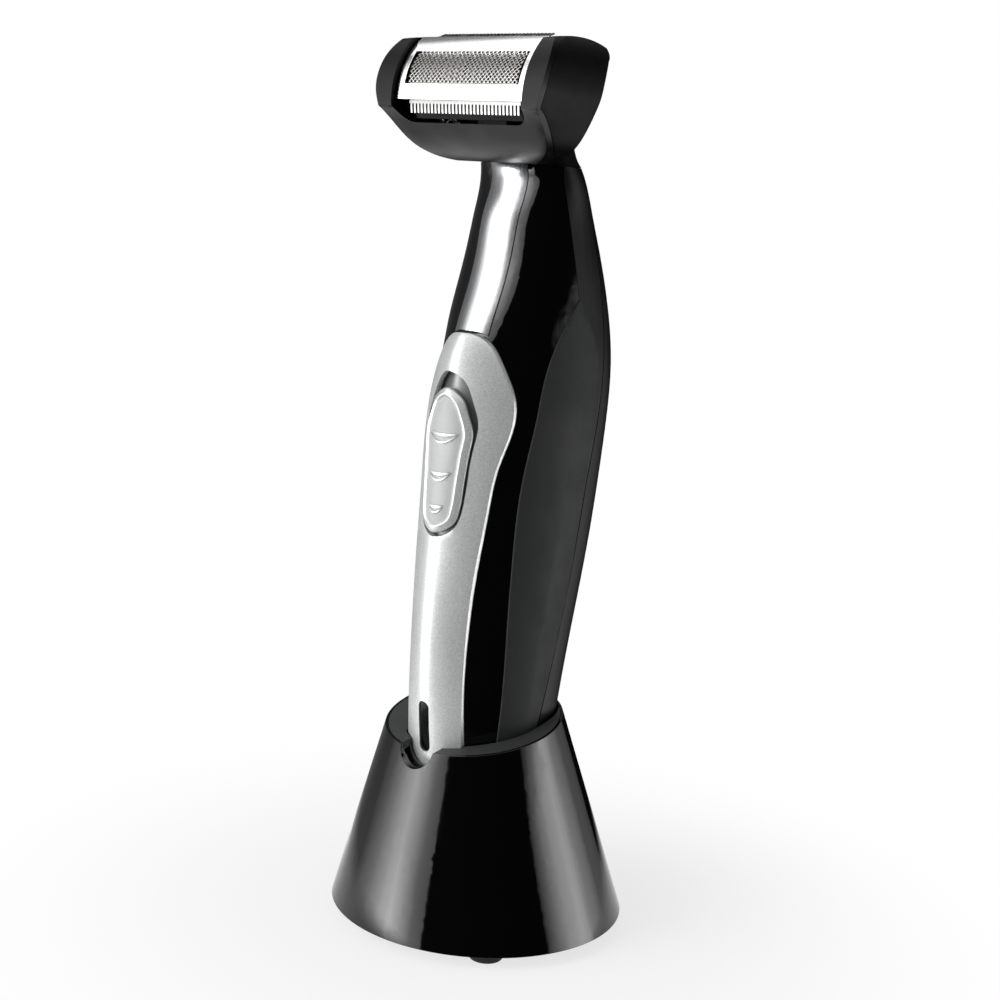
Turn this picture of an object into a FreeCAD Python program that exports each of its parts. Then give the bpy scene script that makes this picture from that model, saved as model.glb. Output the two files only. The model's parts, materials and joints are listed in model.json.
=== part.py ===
"""Body groomer standing in its round charging stand, one STEP file per piece, in millimetres.

Own frame: +Z up, the front of the groomer faces -Y, and X runs across it.  The origin is on the
table, under the centre of the stand's round base.  Every piece is written where it sits at rest.
"""
import FreeCAD, Part
import math
import os

V = FreeCAD.Vector
UP = V(0, 0, 1)
ACROSS = V(1, 0, 0)
BACK = V(0, 1, 0)

# ---------------------------------------------------------------- driving dimensions: stand
BASE_RADIUS = 34.8
RIM_RADIUS = 20.9
RIM_CENTRE = V(0, -5.4, 49.3)
RIM_TILT = 10.9              # degrees, the rim leans down towards the front
STAND_WALL = 2.0
RIM_LIP = 0.6                # gloss lip left round the matte rim face
FLANGE = 1.6
FOOT_HEIGHT = 3.1
FOOT_RADIUS = 3.9
FOOT_CIRCLE = 27.5
PLATE = 1.4
PLATE_GAP = 0.8              # between the base plate and the cone round it
PLATE_TOP = FOOT_HEIGHT + PLATE
NOTCH_RADIUS = 4.8
NOTCH_HEIGHT = 45.9
BOSS_CIRCLE = 27.6
BASE_SCREW_RADIUS = 1.25
PIN_X = 5.0
PIN_Y = -4.0
INLET_HEIGHT = 12.0
SOCKET_FLOOR = 18.0
SOCKET_GAP = 0.5             # between the groomer and its socket
SOCKET_WALL = 1.5

# ---------------------------------------------------------------- driving dimensions: handle
# height, front line, back line, half width, front roundness, back roundness (2 is an ellipse)
HANDLE = [
    (20.0, -18.2, 8.3, 12.6, 1.90, 3.20),
    (38.0, -20.7, 10.6, 14.4, 1.85, 3.30),
    (54.0, -22.9, 12.5, 16.0, 1.68, 3.30),
    (66.0, -23.9, 14.3, 16.7, 1.60, 3.20),
    (78.0, -24.0, 16.5, 17.3, 1.55, 3.10),
    (94.0, -23.3, 19.2, 18.0, 1.60, 3.00),
    (110.0, -22.4, 21.6, 18.3, 1.70, 2.85),
    (124.0, -20.9, 23.2, 18.3, 1.75, 2.75),
    (134.0, -18.0, 24.0, 17.6, 1.85, 2.60),
    (142.0, -15.2, 23.4, 16.6, 2.15, 2.50),
    (150.0, -12.1, 21.3, 15.6, 2.40, 2.45),
    (158.0, -10.0, 18.5, 14.6, 2.40, 2.40),
    (167.0, -8.3, 14.6, 13.6, 2.25, 2.35),
    (177.0, -7.4, 8.8, 12.7, 2.00, 2.30),
]
# height: front line and front roundness of the silver panel, proud of the shell behind it
PANEL = {38.0: (-21.5, 1.85), 54.0: (-23.9, 1.65), 66.0: (-24.9, 1.55), 78.0: (-25.0, 1.55),
         94.0: (-24.3, 1.60), 110.0: (-23.4, 1.68), 124.0: (-22.7, 1.65), 134.0: (-21.4, 1.50),
         142.0: (-17.2, 1.50)}
SECTION_POINTS = 28
WAIST = 0.52                 # where the handle is widest, as a share of the way from front to back
SHELL_WALL = 2.4
PANEL_THICK = 1.6
GRIP_THICK = 1.1
GRIP_PROUD = 0.25
RECESS = (131.2, 94.4, 7.2)          # switch opening: top, bottom, half width
BUTTON = (127.6, 95.3, 6.5)
BUTTON_PAD = (125.4, 97.0, 4.6)
SEAM = 0.12                  # fine gap between two pieces of one casing
FREE = 0.4                   # gap between pieces that move apart
HANDLE_BOTTOM = 20.0
CAP_TOP = 22.4
CAP_SCREWS = (-15.4, 5.2)     # front-to-back places of the screws in the bottom cap
CAP_SCREW_RADIUS = 0.9
CAP_BOSS_RADIUS = 2.6
PLUG_RISE = 4.5              # the neck's plug reaches this far into the head
NECK_TOP = 177.0
TRIM_END = 38.0              # the panel and the grips end here, hidden in the stand

# ---------------------------------------------------------------- driving dimensions: drive
MOTOR_RADIUS = 9.6
MOTOR_BOTTOM = 92.0
MOTOR_TOP = 122.0
MOTOR_Y = 2.0
SHAFT_RADIUS = 1.0
CRANK_OFFSET = 0.8
CRANK_PIN_RADIUS = 0.8
CRANK_HEIGHT = 128.0
PIVOT_HEIGHT = 150.0
PIVOT_RADIUS = 1.25
LEVER_TOP = 187.0
LEVER_WIDTH = 3.0
LEVER_DEPTH = 3.0
LEVER_Y = MOTOR_Y - 0.3
BOARD_FRONT = -13.2
BOARD_BACK = -12.0
BATTERY_RADIUS = 7.1
BATTERY_LENGTH = 48.5
BATTERY_BOTTOM = 33.0

# ---------------------------------------------------------------- driving dimensions: head
DRUM = V(0, -8.8, 189.3)     # axis of the curved shaving face
FOIL_RADIUS = 16.4
CHEEK_RADIUS = 17.6
HEAD_HALF = 23.3
MOUTH_HALF = 18.2            # half width of the opening that holds the cassette
MOUTH_LOW = 184.3
MOUTH_CORNER = 4.0
FRAME_HALF = 17.6
WINDOW_HALF = 15.9
FRAME_THICK = 0.8
WINDOW_ANGLES = (11.0, 39.0)  # degrees above level, seen from the drum's axis
FRAME_ANGLES = (-1.0, 57.0)
FACE_ANGLE = 24.0            # the cassette floats in along this direction
FLOAT = 1.2
FOIL_BEND = 9.0              # radius of the foil, tighter than the frame round it
POST_RADIUS = 1.5            # post that drives the cutter block
HEAD_BOTTOM = NECK_TOP + SEAM
CHEEK_SKIN = 1.6             # thickness of the bezel
TOOTH_PITCH = 1.0
TOOTH_WIDTH = 0.5
ARM_HALF = 4.0                # half width of the cutter block's arms
SPRING_END = 0.45            # from a spring seat to the middle of the end coil


# ---------------------------------------------------------------- small helpers
def box(low, high):
    """Block between two corners."""
    size = [high[i] - low[i] for i in range(3)]
    return Part.makeBox(*size, V(*low))


def rod(radius, foot, top):
    """Cylinder between two points."""
    foot = V(*foot)
    run = V(*top) - foot
    return Part.makeCylinder(radius, run.Length, foot, run)


def ring(outer, inner, foot, top):
    """Tube between two points, open at both ends."""
    return rod(outer, foot, top).cut(rod(inner, foot, top))


def fuse(shapes):
    """One solid from several that touch or overlap."""
    whole = shapes[0]
    for shape in shapes[1:]:
        whole = whole.fuse(shape)
    return whole.removeSplitter()


def mirrored(shape):
    """The same piece on the other side of the groomer."""
    return shape.mirror(V(0, 0, 0), ACROSS)


def both_sides(shape):
    """A pair of equal solids, left and right."""
    return Part.makeCompound([shape, mirrored(shape)])


def smooth_line(points):
    """Smooth open edge through a few points."""
    curve = Part.BSplineCurve()
    curve.interpolate([V(*p) for p in points])
    return curve.toShape()


def smooth_loop(points):
    """Smooth closed wire through a few points."""
    curve = Part.BSplineCurve()
    curve.interpolate([V(*p) for p in points], PeriodicFlag=True)
    return Part.Wire([curve.toShape()])


def straight_loop(points):
    """Closed wire of straight runs."""
    return Part.makePolygon([V(*p) for p in points + points[:1]])


def slab(wire, run):
    """Solid that a flat closed wire sweeps along a vector."""
    return Part.Face(wire).extrude(run)


def coil(radius, pitch, length, wire_radius):
    """Coil spring standing on the origin."""
    line = Part.Wire(Part.makeHelix(pitch, length, radius).Edges)
    start = line.Edges[0].valueAt(line.Edges[0].FirstParameter)
    profile = Part.Wire([Part.Circle(start, BACK, wire_radius).toShape()])
    return line.makePipeShell([profile], True, False)


def largest(shape):
    """The biggest solid of a cut that may leave slivers."""
    return max(shape.Solids, key=lambda solid: solid.Volume)


# ---------------------------------------------------------------- handle surfaces
def section(station, front, inset):
    """One level outline of the handle, drawn in by an inset."""
    height, _, back, half, front_power, back_power = station
    low = front + inset
    high = back - inset
    wide = half - inset
    waist = low + WAIST * (high - low)
    points = []
    for step in range(SECTION_POINTS):
        turn = 2 * math.pi * step / SECTION_POINTS
        cos, sin = math.cos(turn), math.sin(turn)
        power = back_power if sin > 0 else front_power
        depth = high - waist if sin > 0 else waist - low
        x = wide * math.copysign(abs(cos) ** (2 / power), cos)
        y = waist + depth * math.copysign(abs(sin) ** (2 / power), sin)
        points.append((x, y, height))
    return smooth_loop(points)


def handle_volume(inset=0.0):
    """The handle's outer volume from its foot to the top of the neck."""
    wires = [section(row, row[1], inset) for row in HANDLE]
    return Part.makeLoft(wires, True, False)


def panel_volume(inset=0.0):
    """The handle's volume with the front line of the silver panel."""
    rows = [(row[0], 0, row[2], row[3], PANEL[row[0]][1], row[5]) for row in HANDLE if row[0] in PANEL]
    wires = [section(row, PANEL[row[0]][0], inset) for row in rows]
    return Part.makeLoft(wires, True, False)


def panel_region(grow=0.0):
    """Front outline of the silver panel, as a slab through the front half."""
    half = [(5.4, 138.0), (9.2, 132.5), (12.2, 124.8), (12.3, 118.5), (10.9, 111.0),
            (9.8, 100.0), (8.7, 86.0), (8.1, 70.0), (8.0, 54.0), (8.0, TRIM_END)]
    half = [(x + grow, z + (grow if z > 119 else 0.0)) for x, z in half]
    top = [(0, 139.5 + grow)]
    right = [(x, -40, z) for x, z in top + half]
    left = [(-x, -40, z) for x, z in reversed(top + half)]
    wire = Part.Wire([smooth_line(right), Part.makeLine(V(*right[-1]), V(*left[0])), smooth_line(left)])
    return slab(wire, V(0, 34, 0))


# how the switch outline swells and narrows: share of its length from the top, share of its half width
PEBBLE = [(0.065, 0.55), (0.17, 0.80), (0.30, 1.00), (0.45, 0.94), (0.63, 0.87), (0.82, 0.80), (0.935, 0.62)]


def pebble(top, bottom, half):
    """Long rounded outline in the front plane, widest a third of the way down."""
    right = [(half * wide, top - (top - bottom) * down) for down, wide in PEBBLE]
    points = [(0, top)] + right + [(0, bottom)] + [(-x, z) for x, z in reversed(right)]
    return smooth_loop([(x, -40, z) for x, z in points])


def recess_region():
    """Opening in the panel that the switch slides in."""
    return slab(pebble(*RECESS), V(0, 34, 0))


def slide_region(grow=0.0):
    """Seat of the slide plate, a little larger than the opening above it."""
    top, bottom, half = RECESS
    return slab(pebble(top + 1.2 + grow, bottom - 1.2 - grow, half + 0.8 + grow), V(0, 34, 0))


def lens_region(half, low, high):
    """Long round-ended slot at the front."""
    return fuse([box((-half, -40, low), (half, -6, high)),
                 rod(half, (0, -40, low), (0, -6, low)), rod(half, (0, -40, high), (0, -6, high))])


def side_region(front_points, back_points, thickness=30.0):
    """Right half of the handle between a front edge and a back edge, seen from the side."""
    front = [(0, y, z) for y, z in front_points]
    back = [(0, y, z) for y, z in back_points]
    wire = Part.Wire([smooth_line(front), Part.makeLine(V(*front[-1]), V(*back[-1])),
                      smooth_line(list(reversed(back)))])
    return slab(wire, V(thickness, 0, 0))


def grip_region(grow=0.0):
    """Side outline of a rubber grip: a blade shape with its point at the top."""
    tip = (2.0, 148.0 + 2 * grow)
    front = [tip, (-4.2 - grow, 138.8), (-7.6 - grow, 130.0), (-9.4 - grow, 122.0),
             (-11.9 - grow, 107.0), (-12.7 - grow, 88.0), (-12.8 - grow, 66.0), (-12.7 - grow, TRIM_END)]
    back = [tip, (6.4 + grow, 142.5), (8.9 + grow, 133.5), (8.8 + grow, 122.5), (6.6 + grow, 109.0),
            (4.4 + grow, 88.0), (1.4 + grow, 68.0), (-4.4 + grow, TRIM_END)]
    return side_region(front, back)


def rear_region(gap=0.0):
    """Everything behind the parting line between the front shell and the back cover."""
    line = [(-2.1 + gap, NECK_TOP + 1), (0.0 + gap, 163.4), (2.0 + gap, 148.0), (1.6 + gap, 132.0),
            (-0.2 + gap, 110.0), (-2.5 + gap, 80.0), (-5.0 + gap, 50.0), (-7.5 + gap, HANDLE_BOTTOM)]
    points = [(-30, y, z) for y, z in line]
    low, high = points[-1], points[0]
    corners = [low, (-30, 40, low[2]), (-30, 40, high[2]), high]
    wire = Part.Wire([smooth_line(points), Part.makePolygon([V(*p) for p in corners])])
    return slab(wire, V(60, 0, 0))


def seam_groove():
    """Fine moulded line down each side of the back cover."""
    line = [(5.0, NECK_TOP + 1), (8.6, 166.0), (11.2, 150.0), (11.7, 138.7), (10.8, 129.0),
            (8.9, 117.0), (6.9, 106.0), (4.9, 90.0), (1.8, 69.0), (-4.0, TRIM_END)]
    ribbon = side_region(line, [(y + 0.35, z) for y, z in line])
    cut = ribbon.cut(handle_volume(0.35))
    return both_sides(cut)


def trim_region(grow=0.0):
    """Front outline of the bright strip on the neck."""
    right = [(5.2 + grow, -40, NECK_TOP + 1), (5.0 + grow, -40, 158.0), (4.7 + grow, -40, 134.0)]
    left = [(-x, y, z) for x, y, z in reversed(right)]
    wire = Part.Wire([smooth_line(right), Part.makeLine(V(*right[-1]), V(*left[0])),
                      smooth_line(left), Part.makeLine(V(*left[-1]), V(*right[0]))])
    return slab(wire, V(0, 38, 0)).cut(panel_region(0.5))


# ---------------------------------------------------------------- handle pieces
def casing():
    """Front shell, back cover, bottom cap and the plug at the top of the neck."""
    outer = handle_volume()
    cavity = handle_volume(SHELL_WALL).cut(box((-30, -40, 0), (30, 40, CAP_TOP - 1)))
    pad = panel_volume(PANEL_THICK + SEAM).common(panel_region(-0.8))
    walls = outer.fuse(pad).cut(cavity)
    walls = walls.cut(box((-40, -50, 0), (40, 50, CAP_TOP)))
    grip_cut = both_sides(grip_region(SEAM).cut(handle_volume(GRIP_THICK + SEAM)))
    walls = walls.cut(grip_cut)
    rear = rear_region()
    front = walls.cut(rear)
    cover = walls.common(rear_region(SEAM)).cut(seam_groove())

    pocket = panel_region(SEAM).cut(panel_volume(PANEL_THICK + SEAM))
    front = front.cut(pocket)
    front = front.cut(slide_region(SEAM))
    front = front.cut(lens_region(1.0, 46.0, 54.5))
    strip = trim_region(SEAM).cut(handle_volume(1.0 + SEAM))
    front = largest(front.cut(strip))

    bosses = [rod(CAP_BOSS_RADIUS, (0, y, CAP_TOP), (0, y, CAP_TOP + 8.6)).common(outer) for y in CAP_SCREWS]
    holes = [rod(CAP_SCREW_RADIUS, (0, y, HANDLE_BOTTOM), (0, y, CAP_TOP + 6.6)) for y in CAP_SCREWS]
    front = front.fuse(bosses[0]).cut(holes[0])
    cover = largest(cover).fuse(bosses[1]).cut(holes[1])
    seat_start = LEVER_Y + LEVER_DEPTH / 2 + 0.25
    pivot_seat = ring(3.2, PIVOT_RADIUS, (0, seat_start, PIVOT_HEIGHT), (0, 24, PIVOT_HEIGHT))
    cover = cover.fuse(pivot_seat.common(handle_volume(0.6)))

    foot = outer.common(box((-40, -50, HANDLE_BOTTOM), (40, 50, CAP_TOP - SEAM)))
    for x in (-PIN_X, PIN_X):
        foot = foot.cut(rod(1.7, (x, PIN_Y, 19), (x, PIN_Y, 24)))
    for y in CAP_SCREWS:
        foot = foot.cut(rod(CAP_SCREW_RADIUS + 0.2, (0, y, 19), (0, y, 24)))
        foot = foot.cut(rod(CAP_SCREW_RADIUS + 1.0, (0, y, 19), (0, y, 21)))
    return {"front_shell": front, "back_cover": cover, "bottom_cap": foot}


def neck_trim():
    """Bright strip up the front of the neck."""
    return {"neck_trim": largest(handle_volume(-0.15).cut(handle_volume(1.0)).common(trim_region()))}


def front_panel():
    """Silver panel with the switch opening and the slot for the charge light."""
    skin = panel_volume().cut(panel_volume(PANEL_THICK)).common(panel_region())
    skin = skin.cut(recess_region()).cut(lens_region(1.5, 45.7, 54.9))
    return {"front_panel": largest(skin)}


def indicator():
    """Dark window over the charge light, and the light behind it."""
    window = panel_volume(0.35).cut(panel_volume(PANEL_THICK)).common(lens_region(1.4, 45.7, 54.9))
    stem = box((-0.9, -22.0, 47.5), (0.9, -14.6, 53.0))
    lens = largest(window.fuse(stem))
    light = box((-1.2, -14.4, 49.0), (1.2, BOARD_FRONT, 51.6))
    return {"indicator_lens": lens, "charge_light": light}


def board():
    """Control board behind the front panel."""
    plate = box((-8.5, BOARD_FRONT, 46), (8.5, BOARD_BACK, 118))
    chips = [box((-4, BOARD_BACK, 60 + 14 * n), (4, BOARD_BACK + 1.3, 66 + 14 * n)) for n in range(2)]
    return {"control_board": fuse([plate] + chips)}


def grips():
    """Rubber grips let into both sides."""
    right = handle_volume(-GRIP_PROUD).cut(handle_volume(GRIP_THICK)).common(grip_region())
    right = largest(right)
    return {"grip_right": right, "grip_left": mirrored(right)}


def switch():
    """Slide button, the slide plate under it and the contact slider it carries."""
    outline = slab(pebble(*BUTTON), V(0, 34, 0))
    inner = slab(pebble(*BUTTON_PAD), V(0, 34, 0))
    button = panel_volume(-0.9).cut(panel_volume(0.9)).common(outline)
    dish = inner.cut(panel_volume(-0.35))
    button = largest(button.cut(dish))
    for height, reach in ((115.0, 3.6), (106.6, 2.9), (99.6, 2.0)):
        moon = rod(reach * 1.5, (0, -40, height + 2.0), (0, -10, height + 2.0)).cut(
            rod(reach * 1.6, (0, -40, height + 3.0), (0, -10, height + 3.0)))
        moon = moon.common(box((-reach, -40, height - 8), (reach, -10, height + 2.2)))
        ridge = panel_volume(-1.0).cut(panel_volume(0.2)).common(moon)
        button = button.fuse(ridge)
    stem = box((-1.5, -22.9, 108.0), (1.5, -16.0, 113.0))
    button = button.fuse(stem).removeSplitter()

    plate = panel_volume(PANEL_THICK + 0.5).cut(panel_volume(PANEL_THICK + 1.4))
    plate = largest(plate.common(slide_region()))
    plate = plate.cut(box((-1.9, -30, 107.6), (1.9, -5, 116.8)))
    slider = box((-2.6, -16.0, 107.0), (2.6, -14.0, 114.0))
    return {"power_switch": button, "slide_plate": plate, "contact_slider": slider}


def power_train():
    """Battery, motor, crank, and the lever that swings the cutters."""
    cell_top = BATTERY_BOTTOM + BATTERY_LENGTH
    cell = fuse([rod(BATTERY_RADIUS, (0, -2, BATTERY_BOTTOM), (0, -2, cell_top)),
                 rod(2.6, (0, -2, cell_top), (0, -2, cell_top + 1.2))])
    tabs = [box((-2, -11.9, BATTERY_BOTTOM - 0.5), (2, 1, BATTERY_BOTTOM)),
            box((-2, -11.9, cell_top + 1.2), (2, 1, cell_top + 1.7))]
    motor_foot = (0, MOTOR_Y, MOTOR_BOTTOM)
    can = rod(MOTOR_RADIUS, motor_foot, (0, MOTOR_Y, MOTOR_TOP))
    nose = ring(3.0, SHAFT_RADIUS + 0.05, (0, MOTOR_Y, MOTOR_TOP), (0, MOTOR_Y, MOTOR_TOP + 1.6))
    can = can.cut(rod(SHAFT_RADIUS + 0.05, (0, MOTOR_Y, 110), (0, MOTOR_Y, MOTOR_TOP + 1))).fuse(nose)
    mount = rod(11.4, (0, MOTOR_Y, 100), (0, MOTOR_Y, 112))
    mount = mount.fuse(box((-18, -1, 102), (18, 5, 110)))
    mount = mount.common(handle_volume(SHELL_WALL + SEAM))
    mount = mount.cut(rod(MOTOR_RADIUS, (0, MOTOR_Y, 99), (0, MOTOR_Y, 113)))

    shaft = rod(SHAFT_RADIUS, (0, MOTOR_Y, 111), (0, MOTOR_Y, CRANK_HEIGHT))
    disc = rod(3.4, (0, MOTOR_Y, CRANK_HEIGHT - 3.4), (0, MOTOR_Y, CRANK_HEIGHT))
    disc = disc.cut(rod(SHAFT_RADIUS, (0, MOTOR_Y, 120), (0, MOTOR_Y, CRANK_HEIGHT)))
    pin_y = MOTOR_Y + CRANK_OFFSET
    pin = rod(CRANK_PIN_RADIUS, (0, pin_y, CRANK_HEIGHT), (0, pin_y, CRANK_HEIGHT + 4.5))
    crank = disc.fuse(pin)

    half = LEVER_WIDTH / 2
    y0, y1 = LEVER_Y - LEVER_DEPTH / 2, LEVER_Y + LEVER_DEPTH / 2
    bar = box((-half, y0, CRANK_HEIGHT + 6.5), (half, y1, LEVER_TOP))
    yoke = box((-4.4, y0 - 2.2, CRANK_HEIGHT + 0.8), (4.4, y1 + 2.6, CRANK_HEIGHT + 7.5))
    slot_half = CRANK_PIN_RADIUS + 2 * CRANK_OFFSET + FREE
    yoke = yoke.cut(box((-slot_half, y0 - 5, CRANK_HEIGHT), (slot_half, y1 + 5, CRANK_HEIGHT + 5.2)))
    hub = rod(3.0, (0, y0, PIVOT_HEIGHT), (0, y1, PIVOT_HEIGHT))
    lever = fuse([bar, yoke, hub]).cut(rod(PIVOT_RADIUS + 0.05, (0, -20, PIVOT_HEIGHT), (0, 20, PIVOT_HEIGHT)))
    pivot = rod(PIVOT_RADIUS, (0, y0 - 0.8, PIVOT_HEIGHT), (0, 17, PIVOT_HEIGHT))
    pivot = pivot.fuse(rod(2.2, (0, y0 - 1.6, PIVOT_HEIGHT), (0, y0 - 0.6, PIVOT_HEIGHT)))
    return {"battery_cell": cell, "battery_tabs": Part.makeCompound(tabs), "motor": can,
            "motor_mount": largest(mount), "motor_shaft": shaft, "crank": crank,
            "drive_lever": lever, "lever_pivot": pivot}


def neck_end():
    """Plug at the top of the neck, and the rubber seal round the lever."""
    top = HANDLE[-1]
    stub_face = Part.Face(section(top, top[1], SHELL_WALL + SEAM))
    stub = stub_face.extrude(V(0, 0, PLUG_RISE)).fuse(stub_face.extrude(V(0, 0, -3.0)).common(
        handle_volume(SHELL_WALL + SEAM)))
    stub = stub.cut(box((-4.6, LEVER_Y - 3.6, 170), (4.6, LEVER_Y + 3.6, 185)))
    seal = box((-4.5, LEVER_Y - 3.5, 178.6), (4.5, LEVER_Y + 3.5, 180.2))
    seal = seal.cut(box((-3.4, LEVER_Y - 2.0, 178), (3.4, LEVER_Y + 2.0, 181)))
    return {"neck_plug": stub.removeSplitter(), "lever_seal": seal}


def charging():
    """Contact pads under the handle and the screws of the bottom cap."""
    pad = fuse([rod(1.6, (PIN_X, PIN_Y, 21.0), (PIN_X, PIN_Y, 23.6)),
                rod(2.3, (PIN_X, PIN_Y, CAP_TOP - SEAM), (PIN_X, PIN_Y, 23.4))])
    screws = []
    for y in CAP_SCREWS:
        screws.append(fuse([rod(CAP_SCREW_RADIUS, (0, y, 20.8), (0, y, 28.5)),
                            rod(2 * CAP_SCREW_RADIUS, (0, y, 20.3), (0, y, 21.0))]))
    return {"charge_contacts": both_sides(pad), "cap_screws": Part.makeCompound(screws)}


# ---------------------------------------------------------------- head
def on_drum(radius, degrees, x=0.0):
    """Point at an angle above level on a circle about the drum's axis."""
    turn = math.radians(degrees)
    return V(x, DRUM.y - radius * math.cos(turn), DRUM.z + radius * math.sin(turn))


def drum_band(outer, inner, low, high, half, shift=0.0):
    """Curved plate about the drum's axis, between two angles."""
    middle = (low + high) / 2
    edges = [Part.Arc(on_drum(outer, low), on_drum(outer, middle), on_drum(outer, high)).toShape(),
             Part.makeLine(on_drum(outer, high), on_drum(inner, high)),
             Part.Arc(on_drum(inner, high), on_drum(inner, middle), on_drum(inner, low)).toShape(),
             Part.makeLine(on_drum(inner, low), on_drum(outer, low))]
    face = Part.Face(Part.Wire(edges))
    face.translate(V(shift - half, 0, 0))
    return face.extrude(V(2 * half, 0, 0))


def head_profile(inset):
    """Side outline of the head: round shaving face, flat chin, and leaning back."""
    start = on_drum(CHEEK_RADIUS - inset, 48)
    middle = on_drum(CHEEK_RADIUS - inset, 20)
    end = on_drum(CHEEK_RADIUS - inset, -6)
    chin = [(0, y + 0.64 * inset, z + 0.77 * inset)
            for y, z in ((-22.0, 184.0), (-18.2, 180.5), (-14.0, 177.7), (-10.8, 176.9))]
    heel = (0, -9.0, 178.4)
    corner = (0, -3.0, 199.4)
    crown = (0, -2.4, 202.2)
    back = smooth_line([heel, (0, -7.6, 182.5), (0, -6.3, 187.0), (0, -5.2, 193.0), corner])
    edge = Part.Arc(V(*corner), V(0, -2.2, 201.0), V(*crown)).toShape()
    top = smooth_line([crown, (0, -5.5, 203.2), (0, -10.0, 203.6), (0, -15.0, 203.3), tuple(start)])
    return Part.Wire([Part.Arc(start, middle, end).toShape(), smooth_line([tuple(end)] + chin),
                      Part.makeLine(V(*chin[-1]), V(*heel)), back, edge, top])


def head_front():
    """Front outline of the head: a bar with slanted lower corners and rounded upper ones."""
    right = [(8.0, 176.7), (14.8, 177.7), (19.0, 180.3), (20.9, 184.0), (22.2, 188.0), (23.1, 191.2),
             (HEAD_HALF, 194.5), (22.8, 198.7), (21.4, 202.0), (18.6, 204.8)]
    right = [(x, -60, z) for x, z in [(0, 176.4)] + right]
    left = [(-x, y, z) for x, y, z in reversed(right)]
    wire = Part.Wire([smooth_line(right), Part.makeLine(V(*right[-1]), V(*left[0])), smooth_line(left)])
    return slab(wire, V(0, 80, 0))


def head_block(inset):
    """Drum of the head between its side outline and its front outline."""
    face = Part.Face(head_profile(inset))
    face.translate(V(-30, 0, 0))
    return face.extrude(V(60, 0, 0)).common(head_front())


def bezel_region(gap=0.0):
    """Everything in front of the parting line between the bezel and the head's housing."""
    line = [(-11.6, 206.0), (-15.2, 203.4), (-19.7, 199.9), (-22.8, 196.0), (-23.8, 192.4), (-23.0, 189.3),
            (-19.5, 186.2), (-13.8, 182.6), (-8.1, 178.9), (-5.0, 176.0)]
    points = [(-30, y - gap, z) for y, z in line]
    corners = [points[-1], (-30, -60, points[-1][2]), (-30, -60, points[0][2]), points[0]]
    wire = Part.Wire([smooth_line(points), Part.makePolygon([V(*p) for p in corners])])
    return slab(wire, V(60, 0, 0))


def collar(inset=0.0):
    """Part of the head that carries the neck's shape up into its back."""
    top = HANDLE[-1]
    rows = [(HEAD_BOTTOM, top[1], top[2], top[3]), (180.2, -8.4, 7.0, 11.8), (184.0, -9.4, 6.6, 11.2),
            (189.0, -11.0, 6.2, 10.4), (198.0, -11.0, -0.6, 9.2)]
    wires = [section((z, 0, back, half, top[4], top[5]), front, inset) for z, front, back, half in rows]
    return Part.makeLoft(wires, True, False)


def mouth():
    """Space for the cassette: open to the front and to the top, its lower corners rounded."""
    side = [(0, -45, 182.4), (0, -9.4, 182.4), (0, -9.4, 199.4), (0, -11.0, 201.2), (0, -11.0, 215),
            (0, -45, 215)]
    face = Part.Face(straight_loop(side))
    face.translate(V(-MOUTH_HALF, 0, 0))
    whole = face.extrude(V(2 * MOUTH_HALF, 0, 0))
    radius = MOUTH_CORNER
    front = box((-MOUTH_HALF, -45, MOUTH_LOW), (MOUTH_HALF, -9, 215))
    corners = [edge for edge in front.Edges if abs(edge.CenterOfMass.z - MOUTH_LOW) < 0.1
               and abs(abs(edge.CenterOfMass.x) - MOUTH_HALF) < 0.1]
    front = front.makeFillet(radius, corners)
    inner = box((-MOUTH_HALF, -15.4, 182.4), (MOUTH_HALF, -9, 215))
    return whole.common(front.fuse(inner))


def head_casing():
    """Rear housing with the collar, and the front bezel with its cheeks and chin."""
    opening = mouth()
    top = HANDLE[-1]
    room = Part.Face(section(top, top[1], SHELL_WALL - FREE + 0.1)).extrude(V(0, 0, PLUG_RISE + 0.7))
    throat = box((-6.6, -14.6, 181.2), (6.6, 5.0, 188.6))
    bezel = head_block(0.0).cut(opening).cut(head_block(CHEEK_SKIN - SEAM))
    bezel = bezel.cut(collar(-SEAM)).common(bezel_region(SEAM))
    ends = head_block(0.0).cut(bezel_region())
    core = head_block(CHEEK_SKIN).common(bezel_region())
    housing = ends.fuse(core).fuse(collar()).cut(opening)
    housing = housing.cut(room).cut(throat)
    return {"head_housing": largest(housing), "head_bezel": largest(bezel)}


def comb(radius, edge, reach, half, up, thick=0.35):
    """Steel strip with a row of guard teeth along one edge."""
    low, high = (edge - 8, edge) if up else (edge, edge + 8)
    strip = drum_band(radius, radius - thick, low, high, half)
    tips = []
    count = int(2 * (half - 0.4) / TOOTH_PITCH)
    start, end = (edge - 0.5, edge + reach) if up else (edge - reach, edge + 0.5)
    for n in range(count + 1):
        x = (n - count / 2) * TOOTH_PITCH
        tips.append(drum_band(radius, radius - thick, start, end, TOOTH_WIDTH / 2, x))
    return strip.multiFuse(tips)


def foil_axis():
    """Point on the axis that the foil and the cutter blades are rounded about."""
    crest = on_drum(FOIL_RADIUS - 0.2, sum(WINDOW_ANGLES) / 2)
    return crest + (DRUM - crest).normalize() * FOIL_BEND


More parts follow.
